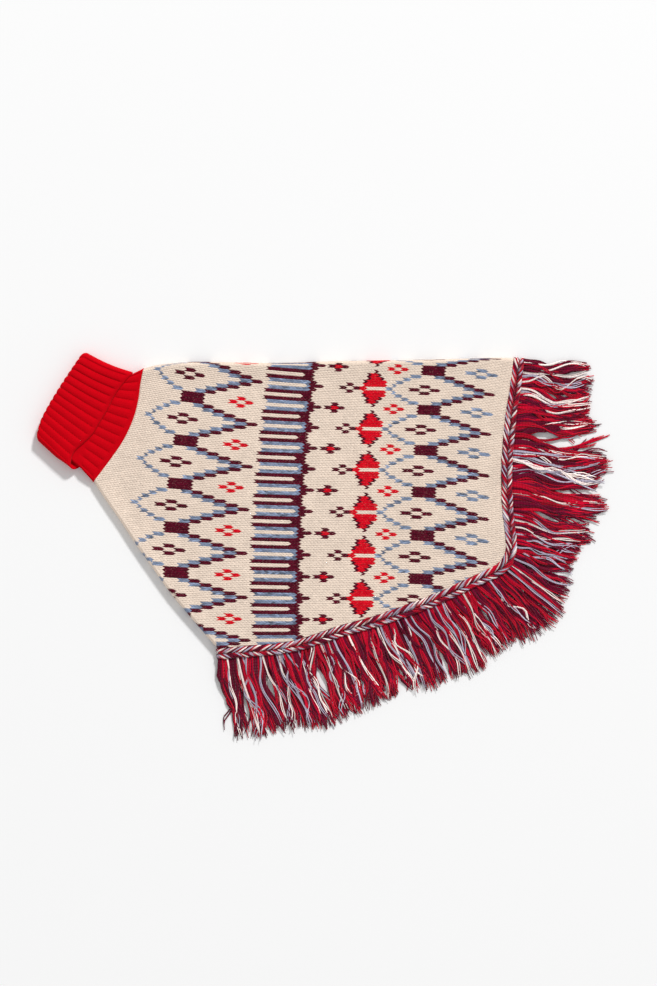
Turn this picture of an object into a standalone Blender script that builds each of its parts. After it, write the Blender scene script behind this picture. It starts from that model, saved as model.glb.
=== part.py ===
# A knitted dog poncho laid flat on its side: the spine fold lies at +Y, the neck at -X, the hem and its fringe at +X
# and -Y. Sizes and tables are in millimetres. The floor is Z = 0, and the origin is on it, under the body panel.

import math
import random

import bmesh
import bpy
import numpy as np

MM = 0.001

# Cloth
BODY_WALL = 2.8
LAYER_GAP = 1.0  # between the upper and the lower layer of the body
SEAM_GAP = 0.3
FOLD_RISE = 2.4  # how much higher the cloth stands where it is folded over
FOLD_REACH = 15.0
RIPPLE = 0.7  # soft unevenness of the upper layer
RIPPLE_WAVES = ((0.021, 0.013, 0.0), (-0.008, 0.027, 1.1))  # radians a millimetre along x and y, and phase

# Collar
RIB_WALL = 2.2
RIB_HEIGHT = 1.2
RIB_COUNT = 12  # on the visible side
RIB_STEPS = 4  # points across a rib
FLAP_GAP = 0.4
COLLAR_GAP = 0.9  # inside the stand
FLAP_DEPTH = 51.0  # fold line to free edge
FOLD_DIP = 2.2  # how far the spine side of the collar sags
FLAP_LAG = (9.5, 1.0)  # how much farther the flap reaches at the chest on the face that lies down
CORNER_ROUND = 4.5
CORNER_REACH = 0.15
# Collar rows run from the fold, 0, by the flap's free edge, 1, to the neck seam, 2.
SEAM = 2.0
FLAP_ROWS = (0.36, 0.7, 0.98)
FLAP_INNER_ROWS = (0.98, 0.5)
STAND_HIDDEN_ROWS = (0.55, 1.02)
STAND_ROWS = (1.25, 1.6)
STAND_INNER_ROWS = (1.5, 1.0, 0.5)
LAG_START = (0.5, 0.6)  # row, and share of the way to the chest

# Fringe trim
HEAD_WALL = 3.2
HEAD_GAP = 1.0
HEAD_WIDTH = 9.6
LOCKS_A_SIDE = 84
LOCK_SHORTEST = 0.9
LOCK_SWAY = 1.3
SWAY_WAVES = 9.0  # along the whole hem
SWAY_TURN = 0.6  # along a lock
SWEEP_PART = (0.12, 0.62)  # where along a lock it sweeps aside

BODY_ROWS = 16
BODY_STEPS = 34
BODY_FOLD_STEPS = 5
COLLAR_FOLD_STEPS = 6
HEAD_FOLD_STEPS = 4
HEM_CORNER = 0.39  # share of the hem from spine to chest, where the rows bend most
CORNER_CROWDING = 0.1
COLLAR_UNDER_STEPS = 14
ROW_SAMPLES = 300

SPINE = [  # x, y from neck to hem
    (-181.8, 178.3),
    (-165.5, 182.3),
    (-132.5, 185.0),
    (-95.0, 184.6),
    (-45.0, 184.0),
    (4.5, 185.6),
    (60.0, 186.6),
    (124.5, 187.8),
    (165.0, 189.2),
    (187.8, 188.9),
]
CHEST = [  # x, y from neck to hem
    (-231.5, 65.4),
    (-219.6, 47.0),
    (-205.6, 27.0),
    (-192.4, 7.0),
    (-175.4, -17.4),
    (-152.9, -48.5),
    (-128.2, -77.9),
    (-108.5, -101.0),
]
NECK = [  # x, y from spine to chest
    (-181.8, 178.3),
    (-185.0, 162.4),
    (-187.0, 147.0),
    (-192.0, 128.0),
    (-202.2, 106.2),
    (-216.2, 85.8),
    (-231.5, 65.4),
]
HEM = [  # x, y from spine to chest, then the strands' length, bearing from +X in degrees, and sweep aside
    (187.8, 188.9, 75, -5, -1),
    (184.4, 161.0, 75, -2, -5),
    (180.0, 134.0, 83, -1, -9),
    (177.0, 104.0, 100, -1, -9),
    (175.5, 75.0, 102, -1, -8),
    (176.0, 47.0, 98, -2, -7),
    (178.3, 21.0, 78, -5, -6),
    (180.0, -1.0, 66, -15, -4),
    (175.5, -13.0, 78, -40, -2),
    (166.5, -20.0, 78, -50, 0),
    (149.5, -28.0, 74, -48, 1),
    (114.5, -44.5, 80, -60, 2),
    (80.5, -58.0, 82, -67, 3),
    (46.5, -69.5, 79, -67, 3),
    (15.5, -78.0, 80, -67, 3),
    (-21.5, -90.5, 85, -73, 3),
    (-43.5, -95.5, 86, -76, 3),
    (-70.5, -98.0, 85, -83, 2),
    (-108.5, -101.0, 83, -88, 0),
]
FREE_EDGE = [  # x, y of the turned-down flap's free edge, spine to chest
    (-191.5, 174.5),
    (-202.4, 162.4),
    (-211.4, 149.5),
    (-217.3, 137.6),
    (-226.2, 122.8),
    (-232.1, 112.9),
    (-240.1, 105.0),
    (-249.0, 97.0),
    (-253.0, 90.0),
    (-254.3, 83.0),
    (-254.5, 76.2),
]
STAND_LINE = [  # x, y of the line where the stand comes out from under the flap, spine to chest
    (-191.5, 174.5),
    (-204.5, 158.0),
    (-220.0, 131.0),
    (-236.5, 103.0),
    (-244.5, 76.3),
]
FOLD_LINE = [  # x, y of the line the collar is turned down on, spine to chest
    (-241.5, 196.0),
    (-264.5, 162.0),
    (-283.0, 130.0),
    (-289.5, 108.3),
]
LOCK_SECTIONS = [  # share of the length, width, thickness, height of an upper lock, height of a lower lock
    (0.33, 3.0, 2.2, 4.9, 1.7),
    (0.68, 2.6, 1.6, 3.6, 1.4),
    (1.00, 1.4, 0.9, 1.7, 1.0),
]

MATERIALS = {  # colour, roughness
    "pattern_knit": ((0.78, 0.68, 0.55, 1.0), 0.95),
    "red_rib": ((0.62, 0.005, 0.02, 1.0), 0.9),
    "fringe_yarn": ((0.35, 0.02, 0.07, 1.0), 0.9),
}


def clear_scene():
    for item in list(bpy.data.objects):
        bpy.data.objects.remove(item, do_unlink=True)


def smooth_curve(points):
    """Catmull-Rom curve through the points, as many even samples as a row has."""
    knots = np.array([p[:2] for p in points], float)
    padded = np.vstack([2 * knots[0] - knots[1], knots, 2 * knots[-1] - knots[-2]])
    run = []
    for a, b, c, d in zip(padded, padded[1:], padded[2:], padded[3:]):
        u = np.linspace(0, 1, 40, endpoint=False)[:, None]
        run.append(
            0.5 * (2 * b + (c - a) * u + (2 * a - 5 * b + 4 * c - d) * u**2 + (3 * b - a - 3 * c + d) * u**3)
        )
    run.append(knots[-1:])
    return resampled(np.vstack(run), np.linspace(0, 1, ROW_SAMPLES))


def lengths(curve):
    steps = np.linalg.norm(np.diff(curve, axis=0), axis=1)
    return np.concatenate([[0], np.cumsum(steps)])


def resampled(curve, shares):
    run = lengths(curve)
    return np.stack([np.interp(np.asarray(shares) * run[-1], run, curve[:, k]) for k in range(2)], axis=-1)


def outward(curve):
    """Unit normals to the right of a row that runs from spine to chest, so towards the hem."""
    tangent = np.gradient(curve, axis=0)
    normal = np.stack([-tangent[:, 1], tangent[:, 0]], axis=-1)
    return normal / np.linalg.norm(normal, axis=1)[:, None]


def stretched(curve, extra):
    """The same row, made longer at both ends."""
    first = curve[0] - curve[1]
    last = curve[-1] - curve[-2]
    head = curve[0] + first / np.linalg.norm(first) * extra
    tail = curve[-1] + last / np.linalg.norm(last) * extra
    return resampled(np.vstack([head, curve, tail]), np.linspace(0, 1, ROW_SAMPLES))


def crowded(share):
    """Shares that lie closer together about the hem's corner."""
    swing = math.sin(2 * math.pi * (share - HEM_CORNER)) + math.sin(2 * math.pi * HEM_CORNER)
    return share - CORNER_CROWDING * swing


def stations(upper_steps, fold_steps, lower_steps, spread=float):
    """Places round a flattened tube: (share across the row or None on a fold, angle in the section)."""
    upper = [(spread(k / upper_steps), math.pi / 2) for k in range(upper_steps + 1)]
    lower = [(spread(1 - k / lower_steps), -math.pi / 2) for k in range(lower_steps + 1)]
    fold = [k / fold_steps for k in range(1, fold_steps)]
    chest = [(None, math.pi / 2 - math.pi * k) for k in fold]
    spine = [(None, -math.pi / 2 - math.pi * k) for k in fold]
    return upper + chest + lower + spine


def ring(row, places, inset, half_height, middle, lift=None):
    """The section of a flattened tube along a row, as one closed loop of points."""
    run = lengths(row)
    total = run[-1]
    heights = np.broadcast_to(half_height, len(places))
    insets = np.broadcast_to(inset, len(places))
    points = []
    for (share, angle), high, deep in zip(places, heights, insets):
        if share is not None:
            at = deep + high + share * (total - 2 * (deep + high))
        elif angle > -math.pi / 2:
            at = total - deep - high + high * math.cos(angle)
        else:
            at = deep + high + high * math.cos(angle)
        x = np.interp(at, run, row[:, 0])
        y = np.interp(at, run, row[:, 1])
        up = math.sin(angle)
        rise = lift(x, y, min(at, total - at)) * (1 + up) / 2 if lift else 0.0
        points.append((x, y, middle + high * up + rise))
    return points


def loft(name, rings, material):
    """A closed skin through closed rings, the last joined to the first."""
    mesh = bmesh.new()
    loops = [[mesh.verts.new([c * MM for c in point]) for point in loop] for loop in rings]
    for near, far in zip(loops, loops[1:] + loops[:1]):
        for k in range(len(near)):
            n = (k + 1) % len(near)
            mesh.faces.new((near[k], near[n], far[n], far[k]))
    bmesh.ops.recalc_face_normals(mesh, faces=mesh.faces)
    return mesh_object(name, mesh, material)


def mesh_object(name, mesh, material):
    data = bpy.data.meshes.new(name)
    mesh.to_mesh(data)
    mesh.free()
    data.shade_smooth()
    data.set_sharp_from_angle(angle=math.radians(50))
    data.materials.append(material)
    item = bpy.data.objects.new(name, data)
    collection.objects.link(item)
    return item


def make_material(name):
    colour, roughness = MATERIALS[name]
    material = bpy.data.materials.new(name)
    material.use_nodes = True
    shader = material.node_tree.nodes["Principled BSDF"]
    shader.inputs["Base Color"].default_value = colour
    shader.inputs["Roughness"].default_value = roughness
    shader.inputs["Metallic"].default_value = 0.0
    return material


def body_row(share):
    """A row across the panel, between the neck edge, 0, and the hem, 1, blended from the four edges."""
    across = np.linspace(0, 1, ROW_SAMPLES)[:, None]
    neck, hem = smooth_curve(NECK), smooth_curve(HEM)
    spine = resampled(smooth_curve(SPINE), share)
    chest = resampled(smooth_curve(CHEST), share)
    corners = (1 - across) * ((1 - share) * neck[0] + share * hem[0]) + across * (
        (1 - share) * neck[-1] + share * hem[-1]
    )
    return (1 - share) * neck + share * hem + (1 - across) * spine + across * chest - corners


def body_lift(x, y, from_fold):
    fold = FOLD_RISE * math.exp(-((from_fold / FOLD_REACH) ** 2))
    ripple = math.prod(math.sin(a * x + b * y + phase) for a, b, phase in RIPPLE_WAVES)
    return fold + RIPPLE * (1 + ripple)


def make_body():
    places = stations(BODY_STEPS, BODY_FOLD_STEPS, BODY_STEPS, crowded)
    half = BODY_WALL + LAYER_GAP / 2
    rows = [body_row(share) for share in np.linspace(0, 1, BODY_ROWS)]
    outer = [ring(row, places, 0, half, half, body_lift) for row in rows]
    inner = [ring(row, places, BODY_WALL, half - BODY_WALL, half, body_lift) for row in reversed(rows)]
    loft("body", outer + inner, make_material("pattern_knit"))


def collar_row(edge, place):
    """A row of the collar at the fold, 0, at the line where the flap or the stand ends, 1, or at the seam, 2."""
    fold, edge = smooth_curve(FOLD_LINE), smooth_curve(edge)
    if place <= 1:
        sag = FOLD_DIP * math.sin(math.pi * place) * np.linspace(1, 0, ROW_SAMPLES) ** 3
        return fold + (edge - fold) * place - np.stack([np.zeros_like(sag), sag], axis=-1)
    neck = smooth_curve(NECK)
    seam = stretched(neck - outward(neck) * SEAM_GAP, RIB_WALL + FLAP_GAP)
    return edge + (seam - edge) * (place - 1)


def eased(value, low, high):
    """0 below low, 1 above high, smooth between."""
    share = min(max((value - low) / (high - low), 0), 1)
    return share * share * (3 - 2 * share)


def lagging(loop, places, place):
    """A loop of the flap, drawn on towards the chest below, as the roll lies there."""
    drawn = []
    for (x, y, z), (share, angle) in zip(loop, places):
        along = share if share is not None else float(angle > -math.pi / 2)
        below = (1 - math.sin(angle)) / 2 * eased(place, LAG_START[0], 1) * eased(along, LAG_START[1], 1)
        drawn.append((x + FLAP_LAG[0] * below, y + FLAP_LAG[1] * below, z))
    return drawn


def rib_shares(places):
    """How far the rib stands up at each place: round ribs above, a plain flat face below."""
    shares = []
    for share, angle in places:
        if share is not None and angle > 0:
            shares.append(0.5 - 0.5 * math.cos(2 * math.pi * RIB_COUNT * share))
        elif share is None and math.sin(angle) > 0:
            shares.append(math.sin(2 * angle) ** 2)
        else:
            shares.append(1.0)
    return np.array(shares)


def collar_profile(ribs):
    """The collar's section from the neck seam up the stand, over the fold and down the flap, then back:
    (edge line, place, depth of each point outside the stand's inner face)."""
    plain = np.zeros_like(ribs)
    flap_inner = RIB_WALL + FLAP_GAP
    flap_outer = flap_inner + RIB_WALL + RIB_HEIGHT * ribs
    turn = (2 * RIB_WALL + FLAP_GAP) / 2 / FLAP_DEPTH
    profile = [(STAND_LINE, place, plain) for place in (SEAM, *STAND_INNER_ROWS, turn)]
    for angle in (-45, 0, 45):
        sine, cosine = math.sin(math.radians(angle)), math.cos(math.radians(angle))
        profile.append((FREE_EDGE, turn * (1 - cosine), flap_outer / 2 * (1 + sine)))
    profile += [(FREE_EDGE, place, flap_outer) for place in (turn, *FLAP_ROWS)]
    profile.append((FREE_EDGE, 1.0, flap_inner + RIB_WALL / 2 + plain))
    profile += [(FREE_EDGE, place, flap_inner + plain) for place in (*FLAP_INNER_ROWS, turn)]
    profile.append((STAND_LINE, turn - FLAP_GAP / 2 / FLAP_DEPTH, RIB_WALL + FLAP_GAP / 2 + plain))
    profile += [(STAND_LINE, place, RIB_WALL + plain) for place in (turn, *STAND_HIDDEN_ROWS)]
    profile += [(STAND_LINE, place, RIB_WALL + RIB_HEIGHT * ribs) for place in (*STAND_ROWS, SEAM)]
    return profile


def make_collar():
    places = stations(RIB_COUNT * RIB_STEPS, COLLAR_FOLD_STEPS, COLLAR_UNDER_STEPS)
    whole = 2 * RIB_WALL + FLAP_GAP + RIB_HEIGHT
    under_flap = whole + COLLAR_GAP / 2
    at_seam = RIB_WALL + RIB_HEIGHT + COLLAR_GAP / 2
    rings = []
    for edge, place, depths in collar_profile(rib_shares(places)):
        near_fold = max(1 - place / CORNER_REACH, 0)
        rounding = CORNER_ROUND * (1 - math.sqrt(1 - near_fold**2))
        middle = under_flap + (at_seam - under_flap) * eased(place, 1, 2)
        inset = np.maximum(whole - RIB_HEIGHT - depths + rounding, 0)
        loop = ring(collar_row(edge, place), places, inset, COLLAR_GAP / 2 + depths, middle)
        rings.append(lagging(loop, places, place) if edge is FREE_EDGE else loop)
    loft("collar", rings, make_material("red_rib"))


def make_fringe_trim():
    """The braided head as a flattened band all round the hem, and a lock from every other face of its outer edge."""
    steps = 2 * LOCKS_A_SIDE
    places = stations(steps, HEAD_FOLD_STEPS, steps)
    half = HEAD_WALL + HEAD_GAP / 2
    hem = smooth_curve(HEM)
    near = hem + outward(hem) * SEAM_GAP
    far = hem + outward(hem) * (SEAM_GAP + HEAD_WIDTH)
    rings = [
        ring(near, places, 0, half, half),
        ring(far, places, 0, half, half),
        ring(far, places, HEAD_WALL, half - HEAD_WALL, half),
        ring(near, places, HEAD_WALL, half - HEAD_WALL, half),
    ]
    item = loft("fringe_trim", rings, make_material("fringe_yarn"))

    mesh = bmesh.new()
    mesh.from_mesh(item.data)
    mesh.faces.ensure_lookup_table()
    chance = random.Random(7)
    table = np.array([row[2:] for row in HEM], float)
    knots = lengths(np.array([row[:2] for row in HEM], float))
    count = len(places)
    outer_edge = list(mesh.faces)[count : 2 * count]
    for k in range(steps):
        upper = k % 2 == 0
        if upper:
            root = outer_edge[k]
            share = (k + 0.5) / steps
        else:
            root = outer_edge[steps + HEAD_FOLD_STEPS + k]
            share = 1 - (k + 0.5) / steps
        length, bearing, sweep = (np.interp(share * knots[-1], knots, table[:, c]) for c in range(3))
        length *= chance.uniform(LOCK_SHORTEST, 1.0)
        grow_lock(mesh, root, length, math.radians(bearing), sweep, share, upper)
    bmesh.ops.recalc_face_normals(mesh, faces=mesh.faces)
    mesh.to_mesh(item.data)
    mesh.free()


def grow_lock(mesh, root, length, bearing, sweep, share, upper):
    ahead = np.array([math.cos(bearing), math.sin(bearing)])
    aside = np.array([-ahead[1], ahead[0]])
    start = np.array(root.calc_center_median()) / MM
    corners = [(np.sign((np.array(v.co[:2]) / MM - start[:2]) @ aside), v.co[2] / MM > start[2]) for v in root.verts]
    face = root
    for reach, width, thickness, upper_height, lower_height in LOCK_SECTIONS:
        face = bmesh.ops.extrude_discrete_faces(mesh, faces=[face])["faces"][0]
        sway = LOCK_SWAY * reach * math.sin(2 * math.pi * (SWAY_WAVES * share + SWAY_TURN * reach))
        swept = sweep * eased(reach, *SWEEP_PART)
        centre = start[:2] + ahead * length * reach + aside * (sway + swept)
        height = upper_height if upper else lower_height
        for vertex, (side, above) in zip(face.verts, corners):
            x, y = centre + aside * side * width / 2
            vertex.co = (x * MM, y * MM, (height + (thickness if above else -thickness) / 2) * MM)


clear_scene()
collection = bpy.data.collections.new("dog_poncho")
bpy.context.scene.collection.children.link(collection)
make_body()
make_collar()
make_fringe_trim()
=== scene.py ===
import math

import bpy
import mathutils
import numpy as np
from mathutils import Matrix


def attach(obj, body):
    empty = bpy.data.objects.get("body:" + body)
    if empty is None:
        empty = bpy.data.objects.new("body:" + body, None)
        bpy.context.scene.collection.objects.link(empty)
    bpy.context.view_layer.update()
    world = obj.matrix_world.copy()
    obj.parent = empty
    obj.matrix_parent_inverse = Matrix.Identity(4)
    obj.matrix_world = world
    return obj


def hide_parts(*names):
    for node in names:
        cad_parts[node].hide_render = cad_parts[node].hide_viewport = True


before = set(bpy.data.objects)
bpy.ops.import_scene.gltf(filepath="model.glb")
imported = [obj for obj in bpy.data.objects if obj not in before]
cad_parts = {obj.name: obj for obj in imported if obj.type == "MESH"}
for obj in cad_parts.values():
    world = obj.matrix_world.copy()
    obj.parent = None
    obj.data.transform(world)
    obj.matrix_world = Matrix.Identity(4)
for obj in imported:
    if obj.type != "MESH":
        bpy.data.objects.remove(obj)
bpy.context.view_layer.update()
mm = 0.001

# The garment lies flat on z = 0. Tables are in millimetres, as are all sizes up to meshFrom.
outline = {
    "spine": [  # neck to hem
        (-181.8, 178.3), (-165.5, 182.3), (-132.5, 185.0), (-95.0, 184.6), (-45.0, 184.0), (4.5, 185.6),
        (60.0, 186.6), (124.5, 187.8), (165.0, 189.2), (187.8, 188.9),
    ],
    "neck": [  # spine to chest
        (-181.8, 178.3), (-185.0, 162.4), (-187.0, 147.0), (-192.0, 128.0),
        (-202.2, 106.2), (-216.2, 85.8), (-231.5, 65.4),
    ],
    "hem": [  # spine to chest
        (187.8, 188.9), (184.4, 161.0), (180.0, 134.0), (177.0, 104.0), (175.5, 75.0), (176.0, 47.0),
        (178.3, 21.0), (180.0, -1.0), (175.5, -13.0), (166.5, -20.0), (149.5, -28.0), (114.5, -44.5),
        (80.5, -58.0), (46.5, -69.5), (15.5, -78.0), (-21.5, -90.5), (-43.5, -95.5), (-70.5, -98.0),
        (-108.5, -101.0),
    ],
    "chest": [  # neck to hem
        (-231.5, 65.4), (-219.6, 47.0), (-205.6, 27.0), (-192.4, 7.0), (-175.4, -17.4), (-152.9, -48.5),
        (-128.2, -77.9), (-108.5, -101.0),
    ],
    "samples": 500,
    "between": 40,  # points between two of a line's own
}


def arcLengths(curve):
    return np.concatenate([[0], np.cumsum(np.linalg.norm(np.diff(curve, axis=0), axis=1))])


def alongCurve(curve, share):  # points at shares of a curve's length
    run = arcLengths(curve)
    at = np.asarray(share) * run[-1]
    return np.stack([np.interp(at, run, curve[:, k]) for k in range(curve.shape[1])], axis=-1)


def smoothCurve(points):  # Catmull-Rom through the points, evenly sampled
    knots = np.array(points, float)
    ends = np.vstack([2 * knots[0] - knots[1], knots, 2 * knots[-1] - knots[-2]])
    a, b, c, d = (ends[k : k + len(knots) - 1, None] for k in range(4))
    u = np.linspace(0, 1, outline["between"], endpoint=False)[None, :, None]
    bend, turn = a - 2.5 * b + 2 * c - d / 2, 1.5 * b - a / 2 - 1.5 * c + d / 2
    run = b + (c - a) / 2 * u + bend * u**2 + turn * u**3
    dense = np.vstack([run.reshape(-1, knots.shape[1]), knots[-1:]])
    return alongCurve(dense, np.linspace(0, 1, outline["samples"]))


def unit(vectors):
    return vectors / np.maximum(np.linalg.norm(vectors, axis=-1, keepdims=True), 1e-9)


def towardsHem(curve):  # unit normals of a line that runs from spine to chest
    tangent = unit(np.gradient(curve, axis=0))
    return np.stack([-tangent[:, 1], tangent[:, 0]], axis=-1)


spineLine, neckLine, hemLine = (smoothCurve(outline[k]) for k in ("spine", "neck", "hem"))
chestLine = smoothCurve(outline["chest"])
hemOut, neckOut = towardsHem(hemLine), towardsHem(neckLine)


def beyond(points, curve, normals):  # signed distance past a curve, and the curve's nearest sample
    near = np.empty(len(points), int)
    batch = 4000  # points at a time
    for first in range(0, len(points), batch):
        part = points[first : first + batch, None]
        near[first : first + batch] = np.argmin(((part - curve[None]) ** 2).sum(-1), axis=1)
    return ((points - curve[near]) * normals[near]).sum(-1), near


def meshFrom(name, points, faces, material, yarn=None, maps=None):
    # points in millimetres, faces as rows of corner numbers, yarn a colour for each point,
    # maps named UV maps, with a place for each corner of each face
    mesh = bpy.data.meshes.new(name)
    count, sides = faces.shape
    mesh.vertices.add(len(points))
    mesh.vertices.foreach_set("co", (np.asarray(points) * mm).astype(np.float32).ravel())
    mesh.loops.add(faces.size)
    mesh.loops.foreach_set("vertex_index", faces.astype(np.int32).ravel())
    mesh.polygons.add(count)
    mesh.polygons.foreach_set("loop_start", np.arange(0, faces.size, sides, dtype=np.int32))
    mesh.polygons.foreach_set("use_smooth", np.ones(count, bool))
    mesh.update(calc_edges=True)
    if yarn is not None:
        colours = np.ones((len(points), 4), np.float32)
        colours[:, :3] = yarn
        mesh.attributes.new("yarn", "FLOAT_COLOR", "POINT").data.foreach_set("color", colours.ravel())
    for key, places in (maps or {}).items():
        mesh.uv_layers.new(name=key).uv.foreach_set("vector", places.astype(np.float32).ravel())
    mesh.validate()
    mesh.materials.append(material)
    piece = bpy.data.objects.new(name, mesh)
    bpy.context.scene.collection.objects.link(piece)
    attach(piece, "root")
    return piece


def gridFaces(rows, columns, closeRows=False, closeColumns=False):
    # quads of a grid of points, numbered row by row
    i = np.arange(rows if closeRows else rows - 1)[:, None]
    j = np.arange(columns if closeColumns else columns - 1)[None]
    down, right = (i + 1) % rows, (j + 1) % columns
    quads = np.stack([i * columns + j, down * columns + j, down * columns + right, i * columns + right], -1)
    return quads.reshape(-1, 4)


def repeated(faces, copies, size):  # the same faces for each of many copies of a small mesh
    return (faces[None] + (np.arange(copies) * size)[:, None, None]).reshape(-1, faces.shape[1])


class Wire:
    # a socket that takes part in sums
    def __init__(self, finish, socket):
        self.finish, self.socket = finish, socket

    def sum(self, operation, *values):
        return self.finish.node("ShaderNodeMath", {"operation": operation}, *values)

    def __add__(self, other):
        return self.sum("ADD", self, other)

    __radd__ = __add__

    def __mul__(self, other):
        return self.sum("MULTIPLY", self, other)

    def sine(self):
        return self.sum("SINE", self)

    def clipped(self, low, high):  # 0 below low, 1 above high, smooth between
        return self.finish.node(
            "ShaderNodeMapRange", {"interpolation_type": "SMOOTHSTEP"}, self, low, high, 0.0, 1.0
        )


class Finish:
    # a material: its fixed values, and a way to add any node
    def __init__(self, name, **fixed):
        self.material = bpy.data.materials.new(name)
        self.material.use_nodes = True
        self.tree = self.material.node_tree
        self.shader = self.tree.nodes["Principled BSDF"]
        for key, value in fixed.items():
            self.shader.inputs[key.replace("_", " ")].default_value = value

    def node(self, kind, settings, *values, **named):
        made = self.tree.nodes.new(kind)
        for key, value in settings.items():
            setattr(made, key, value)
        for key, value in list(enumerate(values)) + [(k.replace("_", " "), v) for k, v in named.items()]:
            if isinstance(value, Wire):
                self.tree.links.new(value.socket, made.inputs[key])
            elif value is not None:
                made.inputs[key].default_value = value
        return Wire(self, next(s for s in made.outputs if s.enabled))

    def part(self, wire, name):  # another output of the node that a wire comes from
        return Wire(self, wire.socket.node.outputs[name])

    def blend(self, share, one, two):  # colours mixed
        made = self.node("ShaderNodeMix", {"data_type": "RGBA"}, share)
        for key, value in ((6, one), (7, two)):
            if isinstance(value, Wire):
                self.tree.links.new(value.socket, made.socket.node.inputs[key])
            else:
                made.socket.node.inputs[key].default_value = value
        return Wire(self, made.socket.node.outputs[2])

    def shaded(self, colour, share):  # a colour made lighter or darker by a number
        return self.node("ShaderNodeVectorMath", {"operation": "SCALE"}, colour, Scale=share)

    def give(self, **wires):
        for key, wire in wires.items():
            self.tree.links.new(wire.socket, self.shader.inputs[key.replace("_", " ")])
        return self.material


def fromScreen(red, green, blue):  # a screen's colour, 0 to 255, in the linear values of a shader
    return tuple(((c / 255 + 0.055) / 1.055) ** 2.4 if c > 10 else c / 3300 for c in (red, green, blue))


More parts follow.
